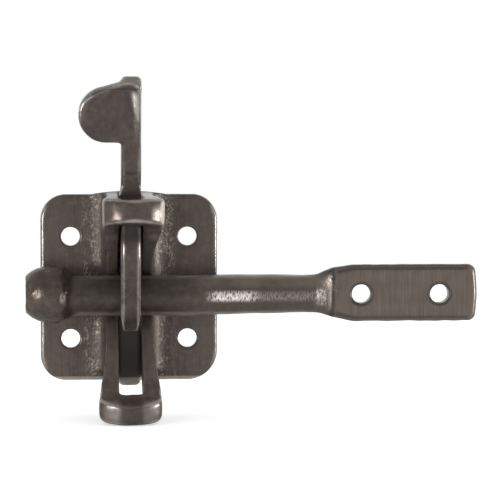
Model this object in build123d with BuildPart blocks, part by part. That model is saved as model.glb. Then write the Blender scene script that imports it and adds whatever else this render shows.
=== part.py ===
from build123d import *
import os
from math import acos, atan2, cos, degrees, hypot, pi, radians, sin, sqrt, tan

# Gate latch: a catch casting for the post, its thumb lever on a pin, and the striker bar of the gate.
# Millimetres, +Z up, +X along the bar. The origin is the middle of the plate's back face, and depths
# are counted from that face towards the front, along -Y.

# Plate of the catch
plate_width = 56.0
plate_height = 59.0
plate_thickness = 4.0
plate_corner_radius = 8.0
plate_worn_corner_radius = 9.5
plate_edge_round = 1.2
screw_hole_diameter = 6.0
screw_spacing_x = 37.0
screw_spacing_z = 32.4

# Round bar of the striker and its place in the throat
bar_diameter = 12.7
bar_axis_height = -1.8
bar_gap = 0.35
seat_wall = 3.6

# Jaws of the catch
channel_width = 7.3
cheek_root_half_width = 7.2
cheek_root_flare = 5.0
upper_cheek_straight_length = 4.5
lower_cheek_straight_length = 0.5
bridge_left_half_width = 9.2
bridge_right_half_width = 10.8
lip_left_half_width = 10.4
lip_right_half_width = 9.9
jaw_front_corner = 2.0
jaw_front_bulge = 5.2
upper_jaw_crown = 1.1
bridge_top_height = 29.4
bridge_thickness = 5.0
bridge_underside_lift = 1.3
bridge_underside_rise = 1.6
lower_mouth_angle = 46.5
lip_inner_depth = 33.5
lip_thickness = 5.5
lip_top_drop = 2.4
lip_height = 8.6
lip_bottom_bulge = 0.9
lip_bottom_corner = 3.0
slot_end_wall = 1.3
lower_jaw_root_height = -25.0
tongue_overhang = 1.4
tongue_corner_radius = 1.9
tongue_top_height = 6.4

# Lever and its pin
lever_thickness = 6.2
pin_diameter = 5.0
pin_clearance = 0.06
pin_proud = 0.5
pin_end_chamfer = 0.4
hub_radius = 5.0
hub_gap = 0.5
pivot_rise = 8.45
hook_gap = 0.7
hook_start_angle = 100.0
hook_end_angle = -55.0
pawl_thickness = 6.0
pawl_tip_depth = 21.6
pawl_tip_height = -12.3
pawl_tip_round = 2.3
pawl_tip_width = 3.6
pawl_taper_height = -7.6
pawl_belly = 1.0
sweep_end_angle = -38.0
sweep_gap = 0.5
rest_gap = 0.35
neck_start_angle = 14.0
neck_rear_depth = 21.0
neck_rear_height = 27.8
neck_bend_height = 29.6
kink_front_depth = 35.0
kink_rear_depth = 26.0
kink_height = 37.0
lever_top_height = 67.0
neck_foot_flare = 0.6
neck_foot_height = 30.2
neck_foot_length = 3.0
lever_lean = 14.0
lever_top_round = 3.0
lever_top_depth = 8.5
lever_edge_chamfer = 0.8
lever_chamfer_angle = 45.0

# Thumb pad
pad_radius = 8.6
pad_centre_x = -7.6
pad_centre_height = 54.7
pad_top_rise = 10.7
pad_thickness = 5.2
pad_edge_round = 0.9
dish_rim = 1.5
dish_top_band = 2.0
dish_slope_x = 0.053
dish_slope_up = 0.083
dish_wall_taper = -35.0
dish_corner_radius = 2.5

# Flat end and ball end of the striker
ball_diameter = 17.8
ball_length = 14.0
ball_end_x = -32.7
ball_flat_diameter = 11.4
bar_straight_x = 28.0
bar_end_x = 58.4
bar_end_diameter = 12.1
swage_length = 5.3
flat_length = 46.2
flat_height = 17.9
flat_rise = 0.3
flat_neck_height = 14.9
flat_flare_length = 10.0
flat_thickness = 5.5
flat_hole_offset = 9.4
flat_hole_spacing = 24.8
flat_hole_diameter = 6.0
flat_end_bulge = 0.9
flat_corner_radius = 2.5
flat_edge_chamfer = 1.1

# Places worked out from the sizes above
bar_radius = bar_diameter / 2
seat_radius = bar_radius + bar_gap
seat_floor_depth = plate_thickness + seat_wall
bar_axis_depth = seat_floor_depth + seat_radius
pivot_depth = plate_thickness + hub_gap + hub_radius
pivot_height = bar_axis_height + bar_radius + pivot_rise
hook_radius = bar_radius + hook_gap
pawl_front_depth = bar_axis_depth + hook_radius + pawl_thickness
sweep_radius = hypot(pawl_front_depth - pivot_depth, pivot_height - bar_axis_height)
neck_front_depth = pivot_depth + sweep_radius * cos(radians(neck_start_angle))
bridge_inner_depth = neck_front_depth + rest_gap
bridge_front_depth = bridge_inner_depth + bridge_thickness
lip_front_depth = lip_inner_depth + lip_thickness
lower_slot_end_depth = lip_inner_depth - slot_end_wall

# Drawing planes: side is (depth, height), plan is (X, depth), front is (X, height)
side = Plane(origin=(0, 0, 0), x_dir=(0, -1, 0), z_dir=(-1, 0, 0))
plan = Plane(origin=(0, 0, 0), x_dir=(1, 0, 0), z_dir=(0, 0, -1))
front = Plane.XZ


def polar(centre, radius, angle):
    """Point at a radius and an angle in degrees from a centre on a drawing plane."""
    return (centre[0] + radius * cos(radians(angle)), centre[1] + radius * sin(radians(angle)))


def tangent_angle(point, centre, radius, turn):
    """Angle on a circle where the line from a point outside touches it, on the side that turn gives."""
    reach = hypot(point[0] - centre[0], point[1] - centre[1])
    bearing = degrees(atan2(point[1] - centre[1], point[0] - centre[0]))
    return bearing + turn * degrees(acos(radius / reach))


def jaw_plan(front_depth, straight_length, left_half_width, right_half_width):
    """Plan of a jaw: roots flared into the plate, cheeks spreading forwards, front bulged and rounded."""
    flare_x = cheek_root_half_width + cheek_root_flare
    flare_depth = plate_thickness + cheek_root_flare
    flare_mid = cheek_root_flare * (1 - sin(pi / 4))
    straight_end = flare_depth + straight_length
    shoulder = front_depth - jaw_front_bulge
    with BuildSketch(plan) as outline:
        with BuildLine():
            Line((0, plate_thickness / 2), (flare_x, plate_thickness / 2))
            Line((flare_x, plate_thickness / 2), (flare_x, plate_thickness))
            ThreePointArc(
                (flare_x, plate_thickness),
                (cheek_root_half_width + flare_mid, plate_thickness + flare_mid),
                (cheek_root_half_width, flare_depth),
            )
            Line((cheek_root_half_width, flare_depth), (cheek_root_half_width, straight_end))
            mirror(about=Plane.YZ)
            TangentArc(
                (cheek_root_half_width, straight_end),
                (right_half_width, shoulder),
                tangent=(0, 1),
            )
            TangentArc(
                (-cheek_root_half_width, straight_end),
                (-left_half_width, shoulder),
                tangent=(0, 1),
            )
            ThreePointArc(
                (right_half_width, shoulder),
                ((right_half_width - left_half_width) / 2, front_depth),
                (-left_half_width, shoulder),
            )
        make_face()
        fillet(outline.vertices().group_by(Axis.Y)[-1], jaw_front_corner)
    return outline.sketch


bar_centre = (bar_axis_depth, bar_axis_height)
pivot = (pivot_depth, pivot_height)
jaw_reach = plate_width / 2
plate_top_height = plate_height / 2
upper_jaw_rear_height = plate_top_height + upper_jaw_crown
crown_half_width = cheek_root_half_width + cheek_root_flare

# Upper jaw: from the middle of the throat up to the bridge that closes its front
bridge_corner_rise = sqrt((sweep_radius + sweep_gap) ** 2 - (bridge_inner_depth - pivot_depth) ** 2)
bridge_inner_height = pivot_height + bridge_corner_rise + bridge_underside_lift
bridge_inner_corner = (bridge_inner_depth, bridge_inner_height)
upper_seat_angle = tangent_angle(bridge_inner_corner, bar_centre, seat_radius, 1)

with BuildPart() as upper_jaw:
    with BuildSketch(side):
        with BuildLine():
            Polyline(
                (seat_floor_depth, bar_axis_height),
                (plate_thickness / 2, bar_axis_height),
                (plate_thickness / 2, upper_jaw_rear_height),
                (bridge_front_depth, bridge_top_height),
                (bridge_front_depth, bridge_inner_height + bridge_underside_rise),
                bridge_inner_corner,
                polar(bar_centre, seat_radius, upper_seat_angle),
            )
            ThreePointArc(
                polar(bar_centre, seat_radius, upper_seat_angle),
                polar(bar_centre, seat_radius, (upper_seat_angle + 180) / 2),
                (seat_floor_depth, bar_axis_height),
            )
        make_face()
    extrude(amount=jaw_reach, both=True)
    add(
        jaw_plan(
            bridge_front_depth,
            upper_cheek_straight_length,
            bridge_left_half_width,
            bridge_right_half_width,
        )
    )
    extrude(amount=plate_height, both=True, mode=Mode.INTERSECT)
    with BuildSketch(front):
        with BuildLine():
            Polyline(
                (-crown_half_width, plate_top_height),
                (-jaw_reach, plate_top_height),
                (-jaw_reach, -plate_height),
                (jaw_reach, -plate_height),
                (jaw_reach, plate_top_height),
                (crown_half_width, plate_top_height),
            )
            ThreePointArc(
                (crown_half_width, plate_top_height),
                (0, upper_jaw_rear_height),
                (-crown_half_width, plate_top_height),
            )
        make_face()
    extrude(amount=bridge_front_depth, mode=Mode.INTERSECT)

# Lower jaw: from the middle of the throat down and out to the lip
lower_seat_angle = -90 - lower_mouth_angle
lower_seat_end = polar(bar_centre, seat_radius, lower_seat_angle)
lower_mouth_drop = (lip_inner_depth - lower_seat_end[0]) * tan(radians(lower_mouth_angle))
lip_inner_height = lower_seat_end[1] - lower_mouth_drop
lip_bottom_height = lip_inner_height - lip_height

with BuildPart() as lower_jaw:
    with BuildSketch(side):
        with BuildLine():
            Polyline(
                lower_seat_end,
                (lip_inner_depth, lip_inner_height),
                (lip_front_depth, lip_inner_height - lip_top_drop),
                (lip_front_depth, lip_bottom_height),
                (lip_inner_depth, lip_bottom_height),
                (plate_thickness / 2, lower_jaw_root_height),
                (plate_thickness / 2, bar_axis_height),
                (seat_floor_depth, bar_axis_height),
            )
            ThreePointArc(
                (seat_floor_depth, bar_axis_height),
                polar(bar_centre, seat_radius, (lower_seat_angle - 180) / 2),
                lower_seat_end,
            )
        make_face()
    extrude(amount=jaw_reach, both=True)
    add(
        jaw_plan(
            lip_front_depth,
            lower_cheek_straight_length,
            lip_left_half_width,
            lip_right_half_width,
        )
    )
    extrude(amount=plate_height, both=True, mode=Mode.INTERSECT)
    with BuildSketch(front) as lip_face:
        with BuildLine():
            lip_side_height = lip_bottom_height + lip_bottom_bulge
            Polyline(
                (-lip_left_half_width, lip_side_height),
                (-lip_left_half_width, lip_inner_height),
                (-jaw_reach, lip_inner_height),
                (-jaw_reach, plate_height),
                (jaw_reach, plate_height),
                (jaw_reach, lip_inner_height),
                (lip_right_half_width, lip_inner_height),
                (lip_right_half_width, lip_side_height),
            )
            ThreePointArc(
                (lip_right_half_width, lip_side_height),
                ((lip_right_half_width - lip_left_half_width) / 2, lip_bottom_height),
                (-lip_left_half_width, lip_side_height),
            )
        make_face()
        fillet(lip_face.vertices().group_by(Axis.Y)[0], lip_bottom_corner)
    extrude(amount=lip_front_depth + plate_thickness, mode=Mode.INTERSECT)

# Catch: plate, jaws and the channel between their cheeks, one casting
with BuildPart() as catch_body:
    with BuildSketch(front) as plate_face:
        Rectangle(plate_width, plate_height)
        worn_corner = plate_face.vertices().group_by(Axis.Y)[0].sort_by(Axis.X)[-1]
        fillet(worn_corner, plate_worn_corner_radius)
        square_corners = plate_face.vertices().sort_by_distance((plate_width, -plate_height))[2:]
        fillet(square_corners, plate_corner_radius)
    extrude(amount=plate_thickness)
    fillet(catch_body.faces().sort_by(Axis.Y)[0].edges(), plate_edge_round)
    add(upper_jaw.part)
    add(lower_jaw.part)
    with BuildSketch(plan):
        with Locations((0, (plate_thickness + bridge_inner_depth) / 2)):
            Rectangle(channel_width, bridge_inner_depth - plate_thickness)
    extrude(amount=-plate_height, mode=Mode.SUBTRACT)
    with BuildSketch(plan):
        with Locations((0, (plate_thickness + lower_slot_end_depth) / 2)):
            Rectangle(channel_width, lower_slot_end_depth - plate_thickness)
    extrude(amount=plate_height, mode=Mode.SUBTRACT)
    tongue_bottom = -plate_top_height - tongue_overhang
    with BuildSketch(front.offset(plate_thickness / 2)) as tongue:
        with Locations((0, (tongue_top_height + tongue_bottom) / 2)):
            Rectangle(channel_width, tongue_top_height - tongue_bottom)
        fillet(tongue.vertices().group_by(Axis.Y)[0], tongue_corner_radius)
    extrude(amount=seat_floor_depth - plate_thickness / 2)
    with BuildSketch(front):
        with GridLocations(screw_spacing_x, screw_spacing_z, 2, 2):
            Circle(screw_hole_diameter / 2)
    extrude(amount=plate_thickness, mode=Mode.SUBTRACT)
    with BuildSketch(side):
        with Locations(pivot):
            Circle(pin_diameter / 2)
    extrude(amount=jaw_reach, both=True, mode=Mode.SUBTRACT)

catch_body.part.label = "catch_body"

# Pin: a plain rod across both cheeks, its ends hammered smooth just proud of them
with BuildPart() as pivot_pin:
    with BuildSketch(side):
        with Locations(pivot):
            Circle(pin_diameter / 2)
    extrude(amount=cheek_root_half_width + pin_proud, both=True)
    chamfer(pivot_pin.edges().filter_by(GeomType.CIRCLE), pin_end_chamfer)

pivot_pin.part.label = "pivot_pin"

# Lever: a flat casting between the cheeks, with a hook over the bar and a pawl that hangs in front of it
hook_start = polar(bar_centre, hook_radius, hook_start_angle)
hook_middle = polar(bar_centre, hook_radius, (hook_start_angle + hook_end_angle) / 2)
hook_end = polar(bar_centre, hook_radius, hook_end_angle)
pawl_tip = (pawl_tip_depth, pawl_tip_height)
pawl_tip_middle = (
    (hook_end[0] + pawl_tip_depth) / 2 - pawl_tip_round * sin(radians(-hook_end_angle)),
    (hook_end[1] + pawl_tip_height) / 2 - pawl_tip_round * cos(radians(-hook_end_angle)),
)
sweep_end = polar(pivot, sweep_radius, sweep_end_angle)
sweep_middle = polar(pivot, sweep_radius, (sweep_end_angle + neck_start_angle) / 2)
neck_start = polar(pivot, sweep_radius, neck_start_angle)
belly_length = hypot(sweep_end[0] - pawl_tip[0], sweep_end[1] - pawl_tip[1])
pawl_front_middle = (
    (sweep_end[0] + pawl_tip[0]) / 2 + pawl_belly * (sweep_end[1] - pawl_tip[1]) / belly_length,
    (sweep_end[1] + pawl_tip[1]) / 2 - pawl_belly * (sweep_end[0] - pawl_tip[0]) / belly_length,
)
neck_rear = (neck_rear_depth, neck_rear_height)
hub_upper = polar(pivot, hub_radius, tangent_angle(neck_rear, pivot, hub_radius, 1))
hub_lower = polar(pivot, hub_radius, tangent_angle(hook_start, pivot, hub_radius, -1))
top_front_depth = kink_front_depth + (lever_top_height - kink_height) * tan(radians(lever_lean))

# The thumb pad's plane is the lever's front face above the kink, leaning forwards
lean_sin = sin(radians(lever_lean))
lean_cos = cos(radians(lever_lean))
pad_plane = Plane(
    origin=(0, -kink_front_depth, kink_height),
    x_dir=(1, 0, 0),
    z_dir=(0, -lean_cos, -lean_sin),
)
pad_left_x = pad_centre_x - pad_radius
pad_centre = (pad_centre_x, (pad_centre_height - kink_height) / lean_cos)
pad_top = (0, pad_centre[1] + pad_top_rise / lean_cos)
pad_top_angle = tangent_angle(pad_top, pad_centre, pad_radius, 1)
dish_plane = Plane(
    origin=pad_plane.from_local_coords((pad_left_x, pad_centre[1], 0)),
    x_dir=pad_plane.x_dir - pad_plane.z_dir * dish_slope_x,
    z_dir=pad_plane.z_dir + pad_plane.x_dir * dish_slope_x + pad_plane.y_dir * dish_slope_up,
)

with BuildPart() as thumb_pad:
    with BuildSketch(pad_plane):
        with BuildLine():
            Line((0, pad_centre[1] - pad_radius), (pad_centre_x, pad_centre[1] - pad_radius))
            ThreePointArc(
                (pad_centre_x, pad_centre[1] - pad_radius),
                (pad_left_x, pad_centre[1]),
                polar(pad_centre, pad_radius, pad_top_angle),
            )
            Line(polar(pad_centre, pad_radius, pad_top_angle), pad_top)
            Line(pad_top, (0, pad_centre[1] - pad_radius))
        make_face()
    extrude(amount=-pad_thickness)
    pad_faces = thumb_pad.faces().filter_by(Axis(pad_plane.origin, pad_plane.z_dir))
    fillet(pad_faces.edges().filter_by_position(Axis.X, pad_left_x, 0, (True, False)), pad_edge_round)

with BuildSketch(side) as lever_side:
    with BuildLine():
        ThreePointArc(hook_start, hook_middle, hook_end)
        ThreePointArc(hook_end, pawl_tip_middle, pawl_tip)
        ThreePointArc(pawl_tip, pawl_front_middle, sweep_end)
        ThreePointArc(sweep_end, sweep_middle, neck_start)
        Polyline(
            neck_start,
            (neck_front_depth, neck_bend_height),
            (kink_front_depth, kink_height),
            (top_front_depth, lever_top_height),
            (top_front_depth - lever_top_depth, lever_top_height),
            (kink_rear_depth, kink_height),
            neck_rear,
            hub_upper,
        )
        ThreePointArc(hub_upper, (pivot_depth - hub_radius, pivot_height), hub_lower)
        Line(hub_lower, hook_start)
    make_face()
    fillet(lever_side.vertices().group_by(Axis.Y)[-1], lever_top_round)

neck_foot_top = neck_foot_height + neck_foot_length
with BuildPart() as neck_foot:
    extrude(lever_side.sketch, amount=lever_thickness / 2 + neck_foot_flare, both=True)
    with BuildSketch(front):
        with BuildLine():
            Line((0, neck_foot_height), (0, neck_foot_top))
            Line((0, neck_foot_top), (lever_thickness / 2, neck_foot_top))
            TangentArc(
                (lever_thickness / 2, neck_foot_top),
                (lever_thickness / 2 + neck_foot_flare, neck_foot_height),
                tangent=(0, -1),
            )
            Line((lever_thickness / 2 + neck_foot_flare, neck_foot_height), (0, neck_foot_height))
        make_face()
        mirror(about=Plane.YZ)
    extrude(amount=bridge_front_depth, mode=Mode.INTERSECT)

with BuildPart() as thumb_lever:
    extrude(lever_side.sketch, amount=lever_thickness / 2 - lever_edge_chamfer, both=True)
    extrude(
        thumb_lever.faces().filter_by(Axis.X),
        amount=lever_edge_chamfer,
        taper=lever_chamfer_angle,
    )
    with BuildSketch(front):
        with BuildLine():
            Polyline(
                (lever_thickness / 2, pawl_taper_height),
                (pawl_tip_width / 2, pawl_tip_height - pawl_tip_round),
                (lever_thickness, pawl_tip_height - pawl_tip_round),
                (lever_thickness, pawl_taper_height),
                close=True,
            )
        make_face()
        mirror(about=Plane.YZ)
    extrude(amount=bridge_front_depth, mode=Mode.SUBTRACT)
    add(neck_foot.part)
    add(thumb_pad.part)
    with BuildSketch(dish_plane) as dish:
        dish_right = lever_thickness / 2 - dish_rim - pad_left_x
        dish_top = pad_top[1] - dish_top_band - pad_centre[1]
        dish_width = dish_right + pad_radius
        dish_height = dish_top + 2 * pad_radius
        with Locations((dish_right, dish_top)):
            Rectangle(dish_width, dish_height, align=(Align.MAX, Align.MAX))
        fillet(dish.vertices().group_by(Axis.Y)[-1].sort_by(Axis.X)[-1], dish_corner_radius)
    extrude(amount=pad_thickness, taper=dish_wall_taper, mode=Mode.SUBTRACT)
    with BuildSketch(side):
        with Locations(pivot):
            Circle(pin_diameter / 2 + pin_clearance)
    extrude(amount=lever_thickness, both=True, mode=Mode.SUBTRACT)

thumb_lever.part.label = "thumb_lever"

# Striker: a round bar, turned to a ball at its free end and forged flat where the gate's screws go
bar_rear_depth = bar_axis_depth - bar_radius
flat_middle_depth = bar_rear_depth + flat_thickness / 2
bar_plane = Plane(origin=(0, -bar_axis_depth, bar_axis_height), x_dir=(1, 0, 0), z_dir=(0, -1, 0))
flat_axis_height = bar_axis_height + flat_rise
flat_plane = Plane(origin=(0, -bar_rear_depth, flat_axis_height), x_dir=(1, 0, 0), z_dir=(0, -1, 0))
ball_bar_x = ball_end_x + ball_length
crease_x = bar_end_x + swage_length
flat_end_x = crease_x + flat_length
flat_hole_x = crease_x + flat_hole_offset
flare_end_x = crease_x + flat_flare_length

with BuildPart() as striker_flat:
    with BuildSketch(flat_plane) as flat_face:
        with BuildLine():
            Spline(
                (crease_x, flat_neck_height / 2),
                (flare_end_x, flat_height / 2),
                tangents=((1, 0), (1, 0)),
            )
            Line((flare_end_x, flat_height / 2), (flat_end_x - flat_end_bulge, flat_height / 2))
            mirror(about=Plane.XZ)
            ThreePointArc(
                (flat_end_x - flat_end_bulge, flat_height / 2),
                (flat_end_x, 0),
                (flat_end_x - flat_end_bulge, -flat_height / 2),
            )
            Line((crease_x, flat_neck_height / 2), (crease_x, -flat_neck_height / 2))
        make_face()
        fillet(flat_face.vertices().group_by(Axis.X)[-1], flat_corner_radius)
    extrude(amount=flat_thickness)
    outline_edges = striker_flat.faces().filter_by(Axis.Y).edges()
    free_edges = outline_edges.filter_by_position(Axis.X, crease_x, flat_end_x, (False, True))
    chamfer(free_edges, flat_edge_chamfer)
    with BuildSketch(flat_plane):
        with Locations((flat_hole_x, -flat_rise), (flat_hole_x + flat_hole_spacing, -flat_rise)):
            Circle(flat_hole_diameter / 2)
    extrude(amount=flat_thickness, mode=Mode.SUBTRACT)

with BuildPart() as striker_bar:
    with BuildSketch(bar_plane):
        with BuildLine():
            Polyline(
                (bar_end_x, bar_end_diameter / 2),
                (bar_end_x, 0),
                (ball_end_x, 0),
                (ball_end_x, ball_flat_diameter / 2),
            )
            ThreePointArc(
                (ball_end_x, ball_flat_diameter / 2),
                (ball_end_x + ball_length / 2, ball_diameter / 2),
                (ball_bar_x, bar_radius),
            )
            Line((ball_bar_x, bar_radius), (bar_straight_x, bar_radius))
            Line((bar_straight_x, bar_radius), (bar_end_x, bar_end_diameter / 2))
        make_face()
    revolve(axis=Axis((0, -bar_axis_depth, bar_axis_height), (1, 0, 0)))
    with BuildSketch(side.offset(-bar_end_x)):
        with Locations(bar_centre):
            Circle(bar_end_diameter / 2)
    with BuildSketch(side.offset(-crease_x)):
        with Locations((flat_middle_depth, flat_axis_height)):
            RectangleRounded(flat_thickness, flat_neck_height, flat_edge_chamfer)
    loft()
    add(striker_flat.part)

striker_bar.part.label = "striker_bar"

os.makedirs("parts", exist_ok=True)
for piece in (catch_body, pivot_pin, thumb_lever, striker_bar):
    export_step(piece.part, "parts/" + piece.part.label + ".step")
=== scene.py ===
from math import cos, radians, sin, tan

import bmesh
import bpy
import numpy as np
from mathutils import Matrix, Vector


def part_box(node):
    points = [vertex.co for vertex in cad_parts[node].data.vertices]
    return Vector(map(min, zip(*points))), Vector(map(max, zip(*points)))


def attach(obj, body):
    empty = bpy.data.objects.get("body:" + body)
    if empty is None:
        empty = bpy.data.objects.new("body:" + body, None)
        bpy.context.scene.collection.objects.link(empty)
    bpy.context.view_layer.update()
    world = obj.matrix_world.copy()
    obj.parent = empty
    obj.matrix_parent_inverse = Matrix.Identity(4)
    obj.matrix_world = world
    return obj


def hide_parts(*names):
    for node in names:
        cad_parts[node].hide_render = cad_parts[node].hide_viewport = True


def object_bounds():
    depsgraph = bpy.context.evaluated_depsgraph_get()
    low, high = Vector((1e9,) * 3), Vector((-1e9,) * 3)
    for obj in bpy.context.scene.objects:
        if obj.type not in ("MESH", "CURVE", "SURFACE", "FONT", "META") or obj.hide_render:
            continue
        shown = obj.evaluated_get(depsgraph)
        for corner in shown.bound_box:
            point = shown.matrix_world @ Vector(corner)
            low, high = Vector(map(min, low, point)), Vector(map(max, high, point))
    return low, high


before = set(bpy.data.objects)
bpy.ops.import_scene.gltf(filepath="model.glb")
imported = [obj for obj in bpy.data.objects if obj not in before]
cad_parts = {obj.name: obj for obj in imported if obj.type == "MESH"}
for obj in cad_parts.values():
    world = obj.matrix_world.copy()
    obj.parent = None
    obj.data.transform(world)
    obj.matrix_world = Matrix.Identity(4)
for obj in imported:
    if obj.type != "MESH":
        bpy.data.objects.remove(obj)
cad_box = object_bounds()

# Catch: the post plate with its slotted jaws, poured as one piece of iron in a sand mould. The plate's face
# is wire-brushed and the strips beside the jaws stay rough as cast. A brown patina covers it all but the
# edges, which hands and the gate have rubbed back to grey metal.


def skin_of(node, cell):
    """Closed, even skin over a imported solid: doubled points are merged and cells of one size remesh it."""
    merge_distance = 1e-6
    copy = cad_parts[node].data.copy()
    shell = bmesh.new()
    shell.from_mesh(copy)
    bmesh.ops.remove_doubles(shell, verts=shell.verts, dist=merge_distance)
    shell.to_mesh(copy)
    shell.free()
    copy.materials.clear()
    piece = bpy.data.objects.new(node + "_skin", copy)
    bpy.context.scene.collection.objects.link(piece)
    remesh = piece.modifiers.new("even_cells", "REMESH")
    remesh.mode = "VOXEL"
    remesh.voxel_size = cell
    remesh.use_smooth_shade = True
    bpy.context.view_layer.update()
    even = bpy.data.meshes.new_from_object(piece.evaluated_get(bpy.context.evaluated_depsgraph_get()))
    piece.modifiers.clear()
    piece.data = even
    even.name = node + "_skin"
    return piece


def soft_step(values, low, high):
    """0 at low, 1 at high, eased between; low may be the greater of the two."""
    part = np.clip((values - low) / (high - low), 0, 1)
    return part * part * (3 - 2 * part)


def lumps(points, span, seed):
    """Random field like a sand mould's uneven face: plane waves of about one span, added up and evened."""
    waves = 28
    shortest, longest = 0.6, 1.6
    draw = np.random.default_rng(seed)
    ways = draw.normal(size=(waves, 3))
    ways /= np.linalg.norm(ways, axis=1)[:, None]
    pitch = 2 * np.pi / (span * draw.uniform(shortest, longest, waves))
    phase = draw.uniform(0, 2 * np.pi, waves)
    return np.sin(points @ (ways * pitch[:, None]).T + phase).sum(1) / np.sqrt(waves / 2)


class Skin:
    """The points of a piece's mesh as arrays, with the averages over neighbours that smoothing needs."""

    relax = 0.5
    swell_back = 0.52
    kept_share = 0.4
    spread_gain = 1.6
    edge_gain = 7

    def __init__(self, piece, node):
        self.mesh = piece.data
        self.low, self.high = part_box(node)
        count = len(self.mesh.vertices)
        flat = np.empty(count * 3)
        self.mesh.vertices.foreach_get("co", flat)
        self.points = flat.reshape(-1, 3)
        ends = np.empty(len(self.mesh.edges) * 2, np.int64)
        self.mesh.edges.foreach_get("vertices", ends)
        self.near, self.far = ends.reshape(-1, 2).T
        self.links = np.bincount(ends, minlength=count)

    def average(self, values):
        """Mean of a value over each point's neighbours."""
        total = np.bincount(self.near, values[self.far], len(self.links))
        total += np.bincount(self.far, values[self.near], len(self.links))
        return total / self.links

    def drift(self):
        """Step from each point to the mean of its neighbours."""
        return np.stack([self.average(axis) for axis in self.points.T], 1) - self.points

    def smooth(self, passes):
        """Takes the cells' steps out without shrinking: each pass relaxes the points, then swells them."""
        for _ in range(passes):
            self.points += self.relax * self.drift()
            self.points -= self.swell_back * self.drift()

    def round_off(self, amount, passes):
        """Wears edges round where the amount is 1: the points relax towards their neighbours."""
        for _ in range(passes):
            self.points += self.relax * amount[:, None] * self.drift()

    def write(self):
        """Puts the points back into the mesh, inside the solid's box, and reads the normals they give."""
        self.points = np.clip(self.points, self.low, self.high)
        self.mesh.vertices.foreach_set("co", self.points.ravel())
        self.mesh.update()
        flat = np.empty(len(self.points) * 3)
        self.mesh.vertices.foreach_get("normal", flat)
        self.normals = flat.reshape(-1, 3)

    def swell(self, height):
        """Moves each point along its normal by its own height."""
        self.points += self.normals * height[:, None]
        self.write()

    def store(self, name, values):
        """Keeps one number per point on the mesh, for its material to read."""
        layer = self.mesh.attributes.new(name, "FLOAT", "POINT")
        layer.data.foreach_set("value", values.astype(np.float32))

    def spread(self, values, passes):
        """Evens a value out over the points around, one ring further with each pass."""
        for _ in range(passes):
            values = self.kept_share * values + (1 - self.kept_share) * self.average(values)
        return np.clip(values * self.spread_gain, 0, 1)

    def mark_edges(self, cell, passes, touched):
        """Stores which points stand out, which of them are touched and rubbed, and which lie in a corner."""
        bend = self.edge_gain * -(self.drift() * self.normals).sum(1) / cell
        edge = np.clip(bend, 0, 1)
        self.store("edge", self.spread(edge, passes))
        self.store("rubbed", self.spread(edge * touched, passes))
        self.store("hollow", self.spread(np.clip(-bend, 0, 1), passes))
        return edge


# A pair of values is where a soft step starts and where it ends. Depths count forwards from the post's face.
catch_low, catch_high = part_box("catch_body")
plate_half = catch_high.x
lip_front = -catch_low.y
catch_cell = 0.00042
plate_rim_widths = (plate_half - 0.0035, plate_half - 0.0012)
jaw_root_depths = (0.0052, 0.0095)
front_depths = (0.0295, 0.0325)
above_throat_heights = (0, 0.01)
bridge_foot_heights = (0.0225, 0.0205)
below_throat_heights = (-0.02, -0.03)
lip_middle_widths = (0.0065, 0.0035)
jaw_rub = 0.25
front_rub = 0.75
bridge_foot_kept = 0.55
lip_middle_kept = 0.5
bridge_lean = 0.0011
bridge_lean_depths = (0.0305, 0.0345)
bridge_lean_start = 0.0215
bridge_lean_height = 0.008
lip_lean = 0.0009
lip_lean_depths = (lip_front - 0.0055, lip_front - 0.0020)
lip_lean_start = -0.0345
lip_lean_height = 0.006
jaw_lump = 0.00004
jaw_lump_span = 0.007
sand_lump = 0.000012
sand_lump_span = 0.004

catch = skin_of("catch_body", catch_cell)
catch_skin = Skin(catch, "catch_body")
catch_skin.smooth(passes=6)
catch_skin.write()
across, depth, height = catch_skin.points.T * [[1], [-1], [1]]
jaws = soft_step(depth, *jaw_root_depths)
fronts = soft_step(depth, *front_depths)
plate_rim = soft_step(abs(across), *plate_rim_widths) * (1 - jaws)
bridge_foot = soft_step(height, *above_throat_heights) * soft_step(height, *bridge_foot_heights)
lip_middle = soft_step(height, *below_throat_heights) * soft_step(abs(across), *lip_middle_widths)
fronts_touched = fronts * (front_rub - bridge_foot_kept * bridge_foot - lip_middle_kept * lip_middle)
catch_touched = np.clip(plate_rim + jaw_rub * jaws + fronts_touched, 0, 1)
catch_skin.mark_edges(catch_cell, passes=5, touched=catch_touched)
up_bridge = np.clip((height - bridge_lean_start) / bridge_lean_height, 0, 1)
down_lip = np.clip((lip_lean_start - height) / lip_lean_height, 0, 1)
catch_skin.points[:, 1] += bridge_lean * soft_step(depth, *bridge_lean_depths) * up_bridge
catch_skin.points[:, 1] += lip_lean * soft_step(depth, *lip_lean_depths) * down_lip
catch_skin.round_off(jaws, passes=10)
catch_skin.round_off(fronts, passes=24)
catch_skin.write()
catch_skin.swell(jaw_lump * jaws * (lumps(catch_skin.points, jaw_lump_span, seed=11) - 1))
catch_skin.swell(sand_lump * (lumps(catch_skin.points, sand_lump_span, seed=12) - 1))
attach(catch, "catch")
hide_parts("catch_body")


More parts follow.
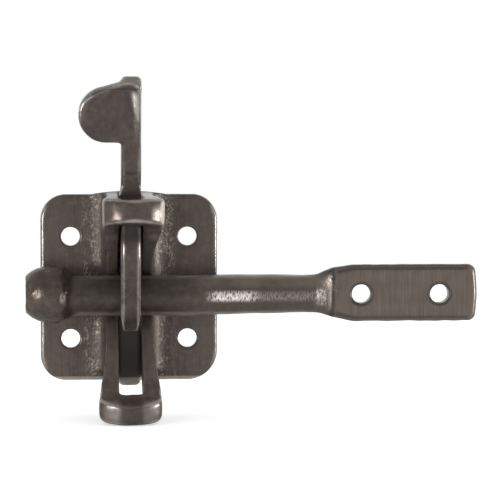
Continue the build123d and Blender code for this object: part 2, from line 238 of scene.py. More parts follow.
class Finish:
    """One value in a material's node tree. Sums and products of values add the Math nodes that make them."""

    def __init__(self, tree, socket=None):
        self.tree = tree
        self.socket = socket

    def add(self, kind, settings, sockets, out=0):
        """A node of that kind: its settings are made first, then its sockets are set or linked."""
        node = self.tree.nodes.new("ShaderNode" + kind)
        for name, value in settings.items():
            setattr(node, name, value)
        for key, value in sockets.items():
            if isinstance(value, Finish):
                self.tree.links.new(value.socket, node.inputs[key])
            else:
                node.inputs[key].default_value = value
        return Finish(self.tree, node.outputs[out])

    def maths(self, operation, first, second=0.0):
        """A Math node on one or two values."""
        return self.add("Math", {"operation": operation}, {0: first, 1: second})

    def __add__(self, other):
        return self.maths("ADD", self, other)

    def __radd__(self, other):
        return self.maths("ADD", other, self)

    def __sub__(self, other):
        return self.maths("SUBTRACT", self, other)

    def __rsub__(self, other):
        return self.maths("SUBTRACT", other, self)

    def __mul__(self, other):
        return self.maths("MULTIPLY", self, other)

    def __rmul__(self, other):
        return self.maths("MULTIPLY", other, self)

    def __abs__(self):
        return self.maths("ABSOLUTE", self)

    def step(self, low, high):
        """0 at low, 1 at high, eased between; low may be the greater of the two."""
        settings = {"interpolation_type": "SMOOTHSTEP"}
        return self.add("MapRange", settings, {"Value": self, "From Min": low, "From Max": high})

    def band(self, low, high, soft):
        """1 between low and high, fading to 0 over the soft distance outside."""
        return self.step(low - soft, low) * self.step(high + soft, high)

    def tint(self, mask, first, second):
        """First colour where the mask is 0, second where it is 1: a Mix node's colour sockets are 6 and 7."""
        return self.add("Mix", {"data_type": "RGBA"}, {0: mask, 6: first, 7: second}, 2)


class Iron(Finish):
    """Browned iron of one piece. Its tone, roughness and height are built up mark by mark and then linked."""

    metallic = 0.6
    cloud_span = 0.007
    cloud_levels = (0.25, 0.75)
    cloud_roughness = 0.2
    speck_span = 0.0007
    speck_relief = 0.00004
    mottle_span = 0.0018
    mottle_pale_levels = (0.5, 0.75)
    mottle_dark_levels = (0.5, 0.25)
    mottle_amount = 0.4
    lightened = 1.7
    darkened = 0.5
    corner_levels = (0.1, 0.9)
    rubbed_levels = (0.2, 0.9)
    broken_by_cloud = 0.7
    broken_by_speck = 0.5
    oval_levels = (1.0, 0.2)

    def __init__(self, name, light, dark, rough):
        self.material = bpy.data.materials.new(name)
        self.material.use_nodes = True
        super().__init__(self.material.node_tree)
        self.place = self.add("TexCoord", {}, {}, "Object")
        self.x, self.y, self.z = (self.add("SeparateXYZ", {}, {0: self.place}, axis) for axis in "XYZ")
        self.cloud = self.noise(self.cloud_span)
        self.speck = self.noise(self.speck_span, rough=0.7)
        self.tone = self.tint(self.cloud.step(*self.cloud_levels), (*dark, 1), (*light, 1))
        self.rough = rough + (self.cloud - 0.5) * self.cloud_roughness
        self.height = self.speck * self.speck_relief
        mottle = self.noise(self.mottle_span, detail=3.0)
        paler = tuple(self.lightened * part for part in light)
        deeper = tuple(self.darkened * part for part in dark)
        self.mark(mottle.step(*self.mottle_pale_levels), paler, amount=self.mottle_amount)
        self.mark(mottle.step(*self.mottle_dark_levels), deeper, amount=self.mottle_amount)

    def stored(self, name):
        """The number of that name that is kept on the mesh's points."""
        return self.add("Attribute", {"attribute_name": name}, {}, "Fac")

    def spot(self, x, z, wide, tall):
        """1 in the middle of an oval seen from the front, 0 outside it, from its centre and half sizes."""
        aside = (self.x - x) * (1 / wide)
        along = (self.z - z) * (1 / tall)
        return (aside * aside + along * along).step(*self.oval_levels)

    def noise(self, span, stretch=(1, 1, 1), detail=4.0, rough=0.55):
        """Cloudy pattern about 0.5, with patches one span wide that are drawn out along stretched axes."""
        scale = tuple(1 / (span * pull) for pull in stretch)
        moved = self.add("Mapping", {}, {"Vector": self.place, "Scale": scale})
        return self.add("TexNoise", {}, {"Vector": moved, "Scale": 1.0, "Detail": detail, "Roughness": rough})

    def mark(self, mask, colour, amount=1.0, rough=0.0):
        """Lays that amount of a colour over the tone where the mask is 1, and changes the roughness there."""
        laid = mask * amount
        self.tone = self.tint(laid, self.tone, (*colour, 1))
        self.rough = self.rough + laid * rough

    def wear(self, pale, grime_and_shade, amount):
        """Grime and painted shade in the corners, and edges rubbed bare in broken patches."""
        self.mark(self.stored("hollow").step(*self.corner_levels), grime_and_shade, amount=0.5, rough=0.15)
        broken = (self.cloud - 0.5) * self.broken_by_cloud + (self.speck - 0.5) * self.broken_by_speck
        bare = (self.stored("rubbed") + broken).step(*self.rubbed_levels)
        self.mark(bare, pale, amount=amount, rough=-0.08)

    def lay(self, piece, relief):
        """Links all that was built up to the shader and puts the material on the piece."""
        shader = self.tree.nodes["Principled BSDF"]
        shader.inputs["Metallic"].default_value = self.metallic
        bump = self.add("Bump", {}, {"Strength": relief, "Distance": 1.0, "Height": self.height})
        links = {"Base Color": self.tone, "Roughness": self.rough, "Normal": bump}
        for name, value in links.items():
            self.tree.links.new(value.socket, shader.inputs[name])
        piece.data.materials.clear()
        piece.data.materials.append(self.material)


# In a material, depths are places on Y, which falls towards the front, and a band's pair is its two edges.
brown = (0.122, 0.098, 0.084)
umber = (0.088, 0.071, 0.062)
# This dark serves soot, pits and grime, and painted shade as well. The grey below serves bare rubbed metal
# and painted sheen.
soot_and_shade = (0.030, 0.026, 0.024)
bare_and_sheen_grey = (0.42, 0.385, 0.355)
# This grey is a painted highlight.
bridge_highlight_grey = (0.60, 0.56, 0.52)
# This brown is wear on the plate and painted fill light on the cheeks.
worn_and_lit_brown = (0.20, 0.165, 0.142)
cast_iron = Iron("cast_catch_patina", brown, umber, rough=0.3)
out_from_middle = abs(cast_iron.x)

# Brush lines run up the plate, which is worn paler towards its sides.
brush_light = (0.15, 0.125, 0.11)
brush_dark = (0.04, 0.032, 0.028)
brush_span = 0.00045
brush_relief = 0.00003
brush_light_levels = (0.5, 0.75)
brush_dark_levels = (0.5, 0.28)
plate_depths = (-0.0065, -0.0045)
plate_wear_widths = (plate_half - 0.016, plate_half - 0.004)
on_plate = cast_iron.y.step(*plate_depths)
brushed = cast_iron.noise(brush_span, stretch=(1, 1, 22), detail=3.0)
cast_iron.mark(brushed.step(*brush_light_levels) * on_plate, brush_light, amount=0.45)
cast_iron.mark(brushed.step(*brush_dark_levels) * on_plate, brush_dark, amount=0.5)
cast_iron.mark(out_from_middle.step(*plate_wear_widths) * on_plate, worn_and_lit_brown, amount=0.32)

# The strips beside the jaws are sandy as cast, their grains dotted with painted glints, and the flares
# between them are dull.
sand_brown = (0.160, 0.132, 0.108)
sand_glint_pale = (0.50, 0.445, 0.375)
flare_umber = (0.070, 0.057, 0.049)
sand_span = 0.0006
sand_relief = 0.00022
sand_levels = (0.48, 0.64)
sand_least = 0.2
patch_span = 0.0035
patch_levels = (0.38, 0.62)
front_face_depths = (-0.0110, -0.0038)
strip_widths = (0.0106, 0.0128)
flare_widths = (0.0125, 0.0105)
front_face = cast_iron.y.band(*front_face_depths, soft=0.0006)
strip = out_from_middle.band(*strip_widths, soft=0.0030) * front_face
sand = cast_iron.noise(sand_span, stretch=(1, 1, 1.4), rough=0.7)
patches = cast_iron.noise(patch_span, stretch=(1, 1, 2), detail=2.0)
rough_cast = strip * (sand_least + patches.step(*patch_levels) * (1 - sand_least))
flare = out_from_middle.step(*flare_widths) * front_face
cast_iron.mark(flare, flare_umber, amount=0.5, rough=0.3)
cast_iron.mark(rough_cast, sand_brown, amount=0.45, rough=0.25)
cast_iron.mark(rough_cast * sand.step(*sand_levels), sand_glint_pale, amount=0.9, rough=-0.1)
cast_iron.height = cast_iron.height + strip * sand * sand_relief + brushed * on_plate * brush_relief

# Painted fill light lifts the shaded cheeks, most on the upper jaw, and the channel and slot between them.
# The tongue's end is painted pale where it catches light.
channel_fill_grey = (0.16, 0.145, 0.135)
slot_fill_grey = (0.34, 0.31, 0.285)
tongue_lit_pale = (0.48, 0.43, 0.385)
cheek_widths = (0.0130, 0.0115)
cheek_depths = (-0.0280, -0.0130)
cheek_fill_light = 0.3
upper_cheek_fill_light = 0.3
upper_cheek_heights = (-0.005, 0.005)
channel_widths = (0.0048, 0.0034)
channel_depths = (-0.031, -0.0035)
upper_slot_heights = (0.004, 0.008)
tongue_end_heights = (-0.0280, -0.0287)
tongue_depths = (-0.0088, -0.0076)
cheeks = out_from_middle.step(*cheek_widths) * cast_iron.y.band(*cheek_depths, soft=0.002)
cheek_light = cheek_fill_light + cast_iron.z.step(*upper_cheek_heights) * upper_cheek_fill_light
cast_iron.mark(cheeks * cheek_light, worn_and_lit_brown)
channel = out_from_middle.step(*channel_widths) * cast_iron.y.band(*channel_depths, soft=0.002)
cast_iron.mark(channel, channel_fill_grey, amount=0.65, rough=0.2)
cast_iron.mark(channel * cast_iron.z.step(*upper_slot_heights), slot_fill_grey, amount=0.8)
tongue_end_light = cast_iron.z.step(*tongue_end_heights) * cast_iron.y.step(*tongue_depths)
cast_iron.mark(tongue_end_light, tongue_lit_pale, amount=0.85)

# The bridge has pale rubbed rims, a painted highlight on its right and painted shade along its lower edge.
rim_beige = (0.54, 0.495, 0.445)
bridge_heights = (0.0175, 0.0195)
bridge_depths = (-0.0285, -0.0300)
left_rim_places = (-0.0078, -0.0088)
left_rim_least = 0.4
left_rim_cloud = 0.5
right_rim_places = (0.0088, 0.0100)
bridge_arch_heights = (0.0175, 0.0212)
edge_levels = (0.1, 0.5)
bridge = cast_iron.z.step(*bridge_heights) * cast_iron.y.step(*bridge_depths)
left_rim = bridge * cast_iron.x.step(*left_rim_places)
cast_iron.mark(left_rim * (left_rim_least + cast_iron.cloud * left_rim_cloud), bare_and_sheen_grey, rough=-0.05)
cast_iron.mark(bridge * cast_iron.x.step(*right_rim_places), rim_beige, amount=0.85, rough=0.35)
bridge_crescent_highlight = cast_iron.spot(x=0.0070, z=0.0249, wide=0.0010, tall=0.0026)
cast_iron.mark(bridge * bridge_crescent_highlight, bridge_highlight_grey, amount=0.22)
bridge_edge = cast_iron.stored("edge").step(*edge_levels)
bridge_foot_shade = bridge_edge * cast_iron.z.band(*bridge_arch_heights, soft=0.0006)
cast_iron.mark(bridge * bridge_foot_shade, soot_and_shade, amount=0.6, rough=0.25)

# The lip is darkened in the middle with painted shade, and has patches on both sides that are rubbed and also
# serve as painted highlights.
lip_shade_umber = (0.07, 0.057, 0.05)
lip_heights = (-0.0320, -0.0335)
lip_depths = (0.0060 - lip_front, 0.0045 - lip_front)
lip_shade_widths = (0.0055, 0.0030)
lip_patch_widths = (0.0045, 0.0075)
lip = cast_iron.z.step(*lip_heights) * cast_iron.y.step(*lip_depths)
cast_iron.mark(lip * out_from_middle.step(*lip_shade_widths), lip_shade_umber, amount=0.5)
lip_rubs_and_highlights = lip * out_from_middle.band(*lip_patch_widths, soft=0.002) * cast_iron.cloud
cast_iron.mark(lip_rubs_and_highlights, bare_and_sheen_grey, amount=0.5)

# The upper jaw's top has a painted sheen, most of all on its right. Last come the worn edges all over.
jaw_top_heights = (catch_high.z - 0.0020, catch_high.z - 0.0014)
jaw_top_depths = (-0.033, -0.008)
jaw_shine_places = (-0.004, 0.006)
jaw_shine_right = 0.5
jaw_shine_cloud = 0.4
jaw_top = cast_iron.z.step(*jaw_top_heights) * cast_iron.y.band(*jaw_top_depths, soft=0.002)
jaw_top_sheen = cast_iron.x.step(*jaw_shine_places) * jaw_shine_right + cast_iron.cloud * jaw_shine_cloud
cast_iron.mark(jaw_top * jaw_top_sheen, bare_and_sheen_grey)
cast_iron.wear(bare_and_sheen_grey, soot_and_shade, amount=0.75)
cast_iron.lay(catch, relief=0.7)

# Pivot pin: a plain steel rod driven through both cheeks of the upper jaw, its ends hammered smooth. It was
# browned together with the catch.
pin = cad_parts["pivot_pin"]
pin_steel = Iron("pin_patina", umber, soot_and_shade, rough=0.4)
pin_steel.lay(pin, relief=0.6)

# Thumb lever: thumb pad, neck and pawl, one casting in the same iron, hung on the pin. Thumbs rub the pad's
# edges, and the bar that it holds rubs the pawl's edges.
lever_right, _, lever_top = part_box("thumb_lever")[1]
lever_cell = 0.00036
pawl_front_depth = 0.024
pawl_bend_height = -0.00128
pawl_bend_slope = 0.5
pawl_bend_reach = 0.002
pad_heights = (0.042, 0.047)
neck_heights = (0.0145, 0.0175)
bridge_shade_heights = (0.028, 0.022)
neck_kept = 0.3
under_bridge_kept = 0.7
pad_kept = 0.4
pad_foot_height = 0.037
pad_foot_depth = 0.035
pad_lean = radians(14)
pad_face_thickness = 0.0035
pad_face_normal = -0.2
curl_start = lever_right - 0.0043
curl_width = 0.0028
curl_foot_heights = (0.0450, 0.0475)
curl_top_heights = (lever_top - 0.0015, lever_top - 0.0040)
curl_above_face = 0.0004
curl_limit = 0.003
crest_start = lever_right - 0.0014
crest_width = 0.0009
crest_fall = 0.0007
lever_lump = 0.00002
lever_lump_span = 0.006

lever = skin_of("thumb_lever", lever_cell)
lever_skin = Skin(lever, "thumb_lever")
lever_skin.smooth(passes=5)
lever_skin.write()
across, depth, height = lever_skin.points.T * [[1], [-1], [1]]

# The bend in the pawl's front is filled by a parabola that meets both slopes.
from_bend = np.clip(pawl_bend_reach - abs(height - pawl_bend_height), 0, 1)
on_pawl_front = depth > pawl_front_depth
lever_skin.points[:, 1] -= on_pawl_front * pawl_bend_slope / (4 * pawl_bend_reach) * from_bend ** 2
pad = soft_step(height, *pad_heights)
neck = soft_step(height, *neck_heights) * (1 - pad)
under_bridge = neck * soft_step(height, *bridge_shade_heights)
lever_skin.round_off(pad, passes=9)
lever_skin.write()
lever_touched = 1 - neck_kept * neck - under_bridge_kept * under_bridge - pad_kept * pad
lever_edge = lever_skin.mark_edges(lever_cell, passes=2, touched=lever_touched)
lever_skin.store("halo", lever_skin.spread(lever_edge * pad, passes=16))

# The pad's right rim curls forward along a quarter of a circle and falls off past its crest.
pad_plane_depth = pad_foot_depth + (height - pad_foot_height) * tan(pad_lean)
faces_thumb = lever_skin.normals[:, 1] < pad_face_normal
pad_face = faces_thumb * (depth > pad_plane_depth - pad_face_thickness)
curl = np.clip((across - curl_start) / curl_width, 0, 1)
curl_along = soft_step(height, *curl_foot_heights) * soft_step(height, *curl_top_heights)
rim_rise = (1 - np.sqrt(1 - curl ** 2)) * curl_along
crest_drop = crest_fall * np.clip((across - crest_start) / crest_width, 0, 1) ** 2
rim_gap = np.clip(pad_plane_depth + curl_above_face - crest_drop - depth, 0, curl_limit)
lever_skin.points[:, 1] -= pad_face * rim_rise * rim_gap
lever_skin.round_off(pad, passes=5)
lever_skin.write()
lever_skin.swell(lever_lump * (lumps(lever_skin.points, lever_lump_span, seed=23) - 1))
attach(lever, "lever")
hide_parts("thumb_lever")

# Faint streaks run along the lever. Painted shade darkens it at the kink, below the bridge and just above it.
lever_brown = (0.092, 0.074, 0.064)
lever_umber = (0.074, 0.059, 0.052)
lever_streak = (0.14, 0.12, 0.105)
lever_streak_span = 0.0005
lever_streak_levels = (0.5, 0.8)
kink_heights = (0.0370, 0.0375)
kink_depths = (-0.0336, -0.0344)
pawl_shade_heights = (0.0170, 0.0215)
neck_shade_heights = (0.0285, 0.0345)
lever_iron = Iron("cast_lever_patina", lever_brown, lever_umber, rough=0.3)
lever_streaks = lever_iron.noise(lever_streak_span, stretch=(1, 1, 14), detail=3.0)
lever_iron.mark(lever_streaks.step(*lever_streak_levels), lever_streak, amount=0.3)
kink_shadow_line = lever_iron.z.band(*kink_heights, soft=0.0005) * lever_iron.y.step(*kink_depths)
lever_iron.mark(kink_shadow_line, soot_and_shade, amount=0.6, rough=0.1)
lever_iron.mark(lever_iron.z.band(*pawl_shade_heights, soft=0.0020), soot_and_shade, amount=0.8, rough=0.35)
lever_iron.mark(lever_iron.z.band(*neck_shade_heights, soft=0.0020), soot_and_shade, amount=0.4, rough=0.1)

# A painted highlight lies in the fillet before the pad's right rim. Painted shade lies at the rim's foot, and
# the rim is rubbed.
fillet_highlight_white = (0.75, 0.70, 0.66)
pad_depths = (-0.0355, -0.0370)
fillet_place = 0.00185
fillet_height = 0.0535
fillet_slant = 0.228
fillet_widths = (-0.0008, 0.0012)
fillet_end = (lever_right - 0.0013, lever_right - 0.0016)
fillet_heights = (0.0550, 0.0605)
rim_foot_places = (lever_right - 0.0015, lever_right - 0.0013)
rim_foot_heights = (0.0465, lever_top - 0.005)
rim_places = (lever_right - 0.0013, lever_right - 0.0009)
rim_heights = (0.0465, lever_top - 0.003)
on_pad = lever_iron.y.step(*pad_depths)
fillet_left = fillet_place + (fillet_height - lever_iron.z) * fillet_slant
fillet = (lever_iron.x - fillet_left).step(*fillet_widths) * lever_iron.x.step(*fillet_end)
fillet = fillet * lever_iron.z.band(*fillet_heights, soft=0.0025) * on_pad
lever_iron.mark(fillet, fillet_highlight_white, amount=0.9, rough=-0.1)
rim_foot_shade = lever_iron.x.band(*rim_foot_places, soft=0.0002)
rim_foot_shade = rim_foot_shade * lever_iron.z.band(*rim_foot_heights, soft=0.001) * on_pad
lever_iron.mark(rim_foot_shade, soot_and_shade, amount=0.6, rough=0.1)
rim = lever_iron.x.step(*rim_places) * lever_iron.z.band(*rim_heights, soft=0.001) * on_pad
lever_iron.mark(rim * lever_iron.cloud, bare_and_sheen_grey, amount=0.5)

# The block on top and the pad's upper rim are paler, painted light on faces that look up. A line of painted
# shade parts the rim from the face: an arc of an ellipse on the left, level on the right. A painted highlight
# crescent lies inside it.
block_lit_brown = (0.27, 0.235, 0.205)
upper_rim_lit_brown = (0.24, 0.21, 0.185)
painted_highlight_grey = (0.60, 0.55, 0.51)
block_heights = (lever_top - 0.0038, lever_top - 0.0022)
block_levels = (0.4, 0.6)
block_least = 0.6
upper_rim_heights = (0.0500, 0.0570)
halo_levels = (0.02, 0.22)
left_rim_fade = (-0.0125, -0.0080)
left_rim_share = 0.3
rest_of_rim_gain = 0.4
pad_middle_place = -0.005
pad_middle_height = 0.0544
pad_half_width = 0.0118
pad_half_height = 0.0087
rim_line_band = (0.985, 1.015)
rim_line_heights = (0.0590, 0.0610)
crescent_band = (0.87, 0.93)
crescent_heights = (0.0570, 0.0603)
crescent_places = (-0.0105, -0.0120)
block_mottle = block_least + lever_iron.speck.step(*block_levels) * (1 - block_least)
top_block_light = lever_iron.z.step(*block_heights) * block_mottle
lever_iron.mark(top_block_light, block_lit_brown)
upper_rim_light = lever_iron.stored("halo").step(*halo_levels) * lever_iron.z.step(*upper_rim_heights)
upper_rim_light = upper_rim_light * (left_rim_share + lever_iron.x.step(*left_rim_fade) * rest_of_rim_gain)
lever_iron.mark(upper_rim_light, upper_rim_lit_brown, rough=0.12)
aside = lever_iron.maths("MINIMUM", lever_iron.x - pad_middle_place, 0.0) * (1 / pad_half_width)
along = (lever_iron.z - pad_middle_height) * (1 / pad_half_height)
from_middle = aside * aside + along * along
rim_shade_line = from_middle.band(*rim_line_band, soft=0.035) * lever_iron.z.step(*rim_line_heights) * on_pad
lever_iron.mark(rim_shade_line, soot_and_shade, amount=0.65, rough=0.1)
crescent = from_middle.band(*crescent_band, soft=0.04) * lever_iron.z.band(*crescent_heights, soft=0.0012)
crescent = crescent * lever_iron.x.step(*crescent_places) * on_pad
lever_iron.mark(crescent, painted_highlight_grey, amount=0.6, rough=-0.05)
lever_iron.wear(bare_and_sheen_grey, soot_and_shade, amount=0.75)
lever_iron.lay(lever, relief=0.5)

# Striker bar: a round bar swaged flat where the gate's screws go, with a ball upset on its free end, one
# forging. The round part is slightly pitted, and the flat end is ground crosswise.
bar_low, bar_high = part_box("striker_bar")
free_end = bar_low.x
gate_end = bar_high.x
bar_cell = 0.0004
bar_axis_place = (bar_low.y + bar_high.y) / 2
bar_axis_height = -0.0018
bar_core = 0.001
taper_start = 0.0600
taper_end = 0.0735
taper_swell = 0.0006
taper_edge_heights = (0.0045, 0.0065)
ball_swell = 0.0012
ball_swell_places = (free_end + 0.0063, free_end + 0.0117)
ball_neck_places = (free_end + 0.0143, free_end + 0.0119)
ball_rise = 0.0005
ball_rise_places = (free_end + 0.0137, free_end + 0.0112)
ball_round_places = (free_end + 0.0057, free_end + 0.0087)
ball_round_end = (free_end + 0.0157, free_end + 0.0137)
ball_places = (free_end + 0.0142, free_end + 0.0122)
bar_bow = 0.00035
bow_places = (0.015, 0.045)
bow_end = (0.069, 0.058)
swage_places = (0.046, 0.052)
swage_end = (0.074, 0.068)
bar_rub = 0.15
flat_end_rub = 0.45
flat_end_places = (gate_end - 0.0069, gate_end - 0.0019)
free_end_rub = 0.3
free_end_places = (0, -0.02)
bar_lump = 0.00004
bar_lump_span = 0.006
ball_lump_span = 0.0028

striker = skin_of("striker_bar", bar_cell)
bar_skin = Skin(striker, "striker_bar")
bar_skin.smooth(passes=5)
bar_skin.write()
across = bar_skin.points[:, 0]

# The taper's edges swell by half a sine wave. The ball swells to a barrel and sits a little high on the bar.
from_axis = bar_skin.points[:, 2] - bar_axis_height
swell_along = np.sin(np.pi * np.clip((across - taper_start) / (taper_end - taper_start), 0, 1))
outer_edge = np.sign(from_axis) * soft_step(abs(from_axis), *taper_edge_heights)
bar_skin.points[:, 2] += taper_swell * swell_along * outer_edge
ball_growth = soft_step(across, *ball_swell_places) * soft_step(across, *ball_neck_places)
from_bar_axis = bar_skin.points[:, 1:] - [bar_axis_place, bar_axis_height]
outward = from_bar_axis / np.maximum(np.linalg.norm(from_bar_axis, axis=1), bar_core)[:, None]
bar_skin.points[:, 1:] += ball_swell * ball_growth[:, None] * outward
bar_skin.points[:, 2] += ball_rise * soft_step(across, *ball_rise_places)
bar_skin.points[:, 2] += bar_bow * soft_step(across, *bow_places) * soft_step(across, *bow_end)
ball_shoulder = soft_step(across, *ball_round_end) * soft_step(across, *ball_round_places)
bar_skin.round_off(ball_shoulder, passes=30)
bar_skin.write()
rubbed_ends = flat_end_rub * soft_step(across, *flat_end_places)
rubbed_ends += free_end_rub * soft_step(across, *free_end_places)
bar_skin.mark_edges(bar_cell, passes=4, touched=bar_rub + rubbed_ends)
swage = soft_step(across, *swage_places) * soft_step(across, *swage_end)
bar_skin.round_off(swage, passes=30)
bar_skin.write()
bar_skin.swell(bar_lump * (lumps(bar_skin.points, bar_lump_span, seed=31) - 1))
ball = soft_step(across, *ball_places)
bar_skin.swell(bar_lump * ball * (lumps(bar_skin.points, ball_lump_span, seed=32) - 1))
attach(striker, "catch")
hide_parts("striker_bar")

# The flat end is ground in fine lines across it and has painted shade along its rounded rims. Painted shade
# darkens the bar between the jaws.
bar_brown = (0.107, 0.086, 0.071)
bar_umber = (0.080, 0.064, 0.053)
gate_side_brown = (0.105, 0.086, 0.073)
flat_brown = (0.178, 0.143, 0.122)
ground_light = (0.23, 0.19, 0.165)
ground_dark = (0.09, 0.073, 0.063)
flat_outline_shade = (0.045, 0.037, 0.033)
ground_span = 0.00035
ground_light_levels = (0.5, 0.75)
ground_dark_levels = (0.5, 0.25)
flat_places = (0.0625, 0.0655)
flat_outline_end = (gate_end - 0.0021, gate_end - 0.0039)
gate_side_places = (0.012, 0.034)
jaw_shade_widths = (0.026, 0.008)
bar_iron = Iron("forged_bar_patina", bar_brown, bar_umber, rough=0.29)
on_flat = bar_iron.x.step(*flat_places)
ground = bar_iron.noise(ground_span, stretch=(1, 1, 30), detail=3.0)
bar_iron.mark(bar_iron.x.step(*gate_side_places), gate_side_brown, amount=0.5)
bar_iron.mark(on_flat, flat_brown, amount=0.8, rough=0.04)
bar_iron.mark(ground.step(*ground_light_levels) * on_flat, ground_light, amount=0.6)
bar_iron.mark(ground.step(*ground_dark_levels) * on_flat, ground_dark, amount=0.5)
flat_edge_shade = bar_iron.stored("edge").step(*edge_levels) * on_flat * bar_iron.x.step(*flat_outline_end)
bar_iron.mark(flat_edge_shade, flat_outline_shade, amount=0.6, rough=0.1)
bar_iron.mark(abs(bar_iron.x).step(*jaw_shade_widths), soot_and_shade, amount=0.5, rough=0.1)

# The round bar is dimpled. Its front has a painted highlight, and its upper side and its top and bottom rims
# are paler with painted light.
bar_highlight_white = (0.95, 0.90, 0.86)
bar_upper_lit_brown = (0.190, 0.154, 0.123)
rim_light_brown = (0.38, 0.325, 0.28)
dimple_span = 0.00045
dimple_relief = 0.0001
highlight_places = (0.0280, 0.0360)
faint_highlight_places = (0.042, 0.056)
faint_highlight_share = 0.17
highlight_heights = (-0.0024, -0.0012)
highlight_depths = (-0.0170, -0.0190)
highlight_levels = (0.38, 0.56)
upper_side_heights = (-0.0002, 0.0022)
upper_side_places = (0.0280, 0.0560)
upper_side_levels = (0.1, 0.8)
upper_rim_start = (0.0032, 0.0044)
upper_rim_share = 0.6
lower_rim_start = (-0.0062, -0.0078)
round_bar_places = (-0.0150, 0.0560)
dimples = bar_iron.noise(dimple_span, stretch=(1, 2.5, 2.5), detail=3.0, rough=0.6)
faint_bar_highlight = bar_iron.x.band(*faint_highlight_places, soft=0.008) * faint_highlight_share
bar_highlight = bar_iron.x.band(*highlight_places, soft=0.0055) + faint_bar_highlight
bar_highlight = bar_highlight * bar_iron.z.band(*highlight_heights, soft=0.0016) * bar_iron.y.step(*highlight_depths)
bar_iron.mark(bar_highlight * dimples.step(*highlight_levels), bar_highlight_white, rough=-0.08)
bar_upper_light = bar_iron.z.step(*upper_side_heights) * bar_iron.x.band(*upper_side_places, soft=0.010)
bar_iron.mark(bar_upper_light * bar_iron.cloud.step(*upper_side_levels), bar_upper_lit_brown)
round_rim_light = bar_iron.z.step(*upper_rim_start) * upper_rim_share + bar_iron.z.step(*lower_rim_start)
bar_iron.mark(round_rim_light * bar_iron.x.band(*round_bar_places, soft=0.003), rim_light_brown, amount=0.7)

# The ball has a painted highlight and a painted glint. The swaged shoulder has a painted highlight, and the
# crease beside it is pitted.
shoulder_highlight_grey = (0.65, 0.61, 0.57)
pit_grey = (0.50, 0.455, 0.42)
pit_span = 0.0008
pit_levels = (0.52, 0.66)
ball_highlight_levels = (0.35, 0.55)
ball_highlight_share = 0.6
ball_front_depths = (-0.0150, -0.0160)
shoulder_places = (0.0568, 0.0602)
shoulder_end = (0.0620, 0.0614)
shoulder_heights = (-0.0040, -0.0008)
shoulder_depths = (-0.0120, -0.0135)
shoulder_levels = (0.38, 0.6)
dull_places = (0.0565, 0.0610)
dull_rough = 0.2
crease_places = (0.0632, 0.0642)
crease_pit_places = (0.0632, 0.0650)
crease_pit_heights = (-0.0005, 0.0050)
crease_depths = (-0.0100, -0.0110)
ball_highlight = bar_iron.spot(x=free_end + 0.0115, z=-0.0022, wide=0.0010, tall=0.0021)
ball_highlight = ball_highlight * dimples.step(*ball_highlight_levels) * ball_highlight_share
ball_glint = bar_iron.spot(x=free_end + 0.0127, z=-0.0003, wide=0.0005, tall=0.0005)
ball_highlights = (ball_highlight + ball_glint) * bar_iron.y.step(*ball_front_depths)
bar_iron.mark(ball_highlights, painted_highlight_grey, amount=0.8)
shoulder = bar_iron.x.step(*shoulder_places) * bar_iron.x.step(*shoulder_end)
shoulder = shoulder * bar_iron.z.band(*shoulder_heights, soft=0.0016) * bar_iron.y.step(*shoulder_depths)
bar_iron.mark(shoulder * dimples.step(*shoulder_levels), shoulder_highlight_grey, amount=0.5)
bar_iron.rough = bar_iron.rough + bar_iron.x.band(*dull_places, soft=0.002) * dull_rough
crease_front = bar_iron.y.step(*crease_depths)
deep_pit = bar_iron.spot(x=0.0642, z=0.0034, wide=0.0008, tall=0.0012)
bar_iron.mark(deep_pit * crease_front, soot_and_shade, amount=0.8, rough=0.2)
bar_iron.mark(bar_iron.x.band(*crease_places, soft=0.0006), soot_and_shade, amount=0.6, rough=0.1)
pits = bar_iron.noise(pit_span, detail=3.0).step(*pit_levels)
crease_pits = bar_iron.x.band(*crease_pit_places, soft=0.0006) * pits
crease_pits = crease_pits * bar_iron.z.band(*crease_pit_heights, soft=0.0015) * crease_front
bar_iron.mark(crease_pits, pit_grey, amount=0.4)
bar_iron.height = bar_iron.height + (1 - on_flat) * dimples * dimple_relief
bar_iron.wear(bare_and_sheen_grey, soot_and_shade, amount=0.5)
bar_iron.lay(striker, relief=0.7)

# Floor: a sheet of plain white paper, laid flat under the lip and wide enough to reach out of the picture.
# It glows a little for the camera alone, so that it stays white and still takes the latch's shadow.
floor_half = 0.6
floor_corners = [(-1, -1), (1, -1), (1, 1), (-1, 1)]
floor_height = cad_box[0].z
paper_white = (0.75, 0.75, 0.75, 1)
paper_rough = 0.9
paper_glow = 0.5
sheet_points = [(x * floor_half, y * floor_half, floor_height) for x, y in floor_corners]
sheet = bpy.data.meshes.new("floor")
sheet.from_pydata(sheet_points, [], [(0, 1, 2, 3)])
floor = bpy.data.objects.new("floor", sheet)
bpy.context.scene.collection.objects.link(floor)
paper = bpy.data.materials.new("white_paper")
paper.use_nodes = True
paper_shader = paper.node_tree.nodes["Principled BSDF"]
paper_shader.inputs["Base Color"].default_value = paper_white
paper_shader.inputs["Roughness"].default_value = paper_rough
paper_shader.inputs["Emission Strength"].default_value = paper_glow
paper_light = Finish(paper.node_tree)
seen_floor = paper_light.add("LightPath", {}, {}, "Is Camera Ray")
glow = paper_light.tint(seen_floor, (0, 0, 0, 1), (1, 1, 1, 1))
paper.node_tree.links.new(glow.socket, paper_shader.inputs["Emission Color"])
sheet.materials.append(paper)

# Studio: two soft boxes stand left and right, a little below the latch's height. The room is white behind the
# latch, and dimmer in front, where it mirrors in the metal.
photo_pixels = 500
pixel = 0.0003175
plate_face = -0.004
plate_centre_pixel = (129.0, 286.85)
camera_distance = 1.0
camera_azimuth = radians(-3.6)
camera_elevation = radians(3.5)
target = Vector((
    (photo_pixels / 2 - plate_centre_pixel[0]) * pixel,
    plate_face,
    (plate_centre_pixel[1] - photo_pixels / 2) * pixel,
))


def way(azimuth, elevation):
    """Unit step from the latch to a point seen at an azimuth from the front and an elevation, in radians."""
    return Vector((
        sin(azimuth) * cos(elevation),
        -cos(azimuth) * cos(elevation),
        sin(elevation),
    ))


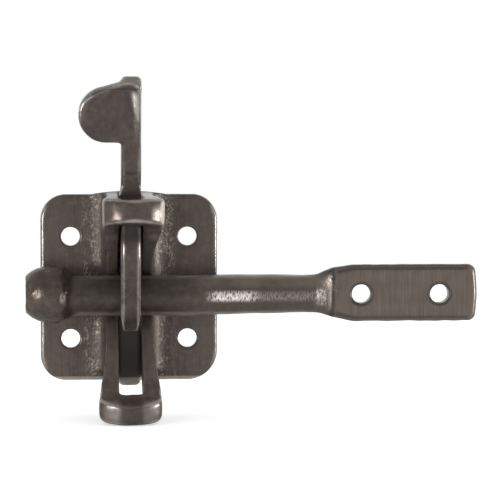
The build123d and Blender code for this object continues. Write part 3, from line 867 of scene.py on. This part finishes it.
lens = bpy.data.cameras.new("photo_camera")
lens.sensor_width = 36.0
lens.lens = lens.sensor_width * camera_distance / (photo_pixels * pixel)
camera = bpy.data.objects.new("photo_camera", lens)
bpy.context.scene.collection.objects.link(camera)
camera.location = target + camera_distance * way(camera_azimuth, camera_elevation)
camera.rotation_euler = (-way(camera_azimuth, camera_elevation)).to_track_quat("-Z", "Y").to_euler()
bpy.context.scene.camera = camera

box_elevation = radians(-5)
box_distance = 1.0
box_width = 0.2
box_height = 0.3


def softbox(name, azimuth, power):
    """A flat lamp that looks at the middle of the picture from an azimuth in radians."""
    light = bpy.data.lights.new(name, "AREA")
    light.shape = "RECTANGLE"
    light.size = box_width
    light.size_y = box_height
    light.energy = power
    lamp = bpy.data.objects.new(name, light)
    bpy.context.scene.collection.objects.link(lamp)
    out = way(azimuth, box_elevation)
    lamp.location = target + box_distance * out
    lamp.rotation_euler = (-out).to_track_quat("-Z", "Y").to_euler()


softbox("left_box", azimuth=radians(-49), power=9.0)
softbox("right_box", azimuth=radians(76), power=11.0)

behind_levels = (-0.1, 0.6)
side_levels = (0.95, 0.4)
fill_levels = (-0.7, 0.5)
mirrored_front = 0.36
mirrored_rise = 0.6
fill_below = 0.45
fill_rise = 0.5
world = bpy.data.worlds.new("room")
bpy.context.scene.world = world
world.use_nodes = True
room = Finish(world.node_tree)
seen = room.add("LightPath", {}, {}, "Is Camera Ray")
mirrored = room.add("LightPath", {}, {}, "Is Glossy Ray")
toward = room.add("TexCoord", {}, {}, "Generated")
behind = room.add("SeparateXYZ", {}, {0: toward}, "Y").step(*behind_levels)
upward = room.add("SeparateXYZ", {}, {0: toward}, "Z")
shine = mirrored_front + behind * abs(upward).step(*side_levels) * mirrored_rise
fill = fill_below + upward.step(*fill_levels) * fill_rise
level = room.maths("MAXIMUM", seen, mirrored * shine + (1 - mirrored) * fill)
world.node_tree.links.new(level.socket, world.node_tree.nodes["Background"].inputs["Color"])
bpy.context.scene.view_settings.view_transform = "Standard"
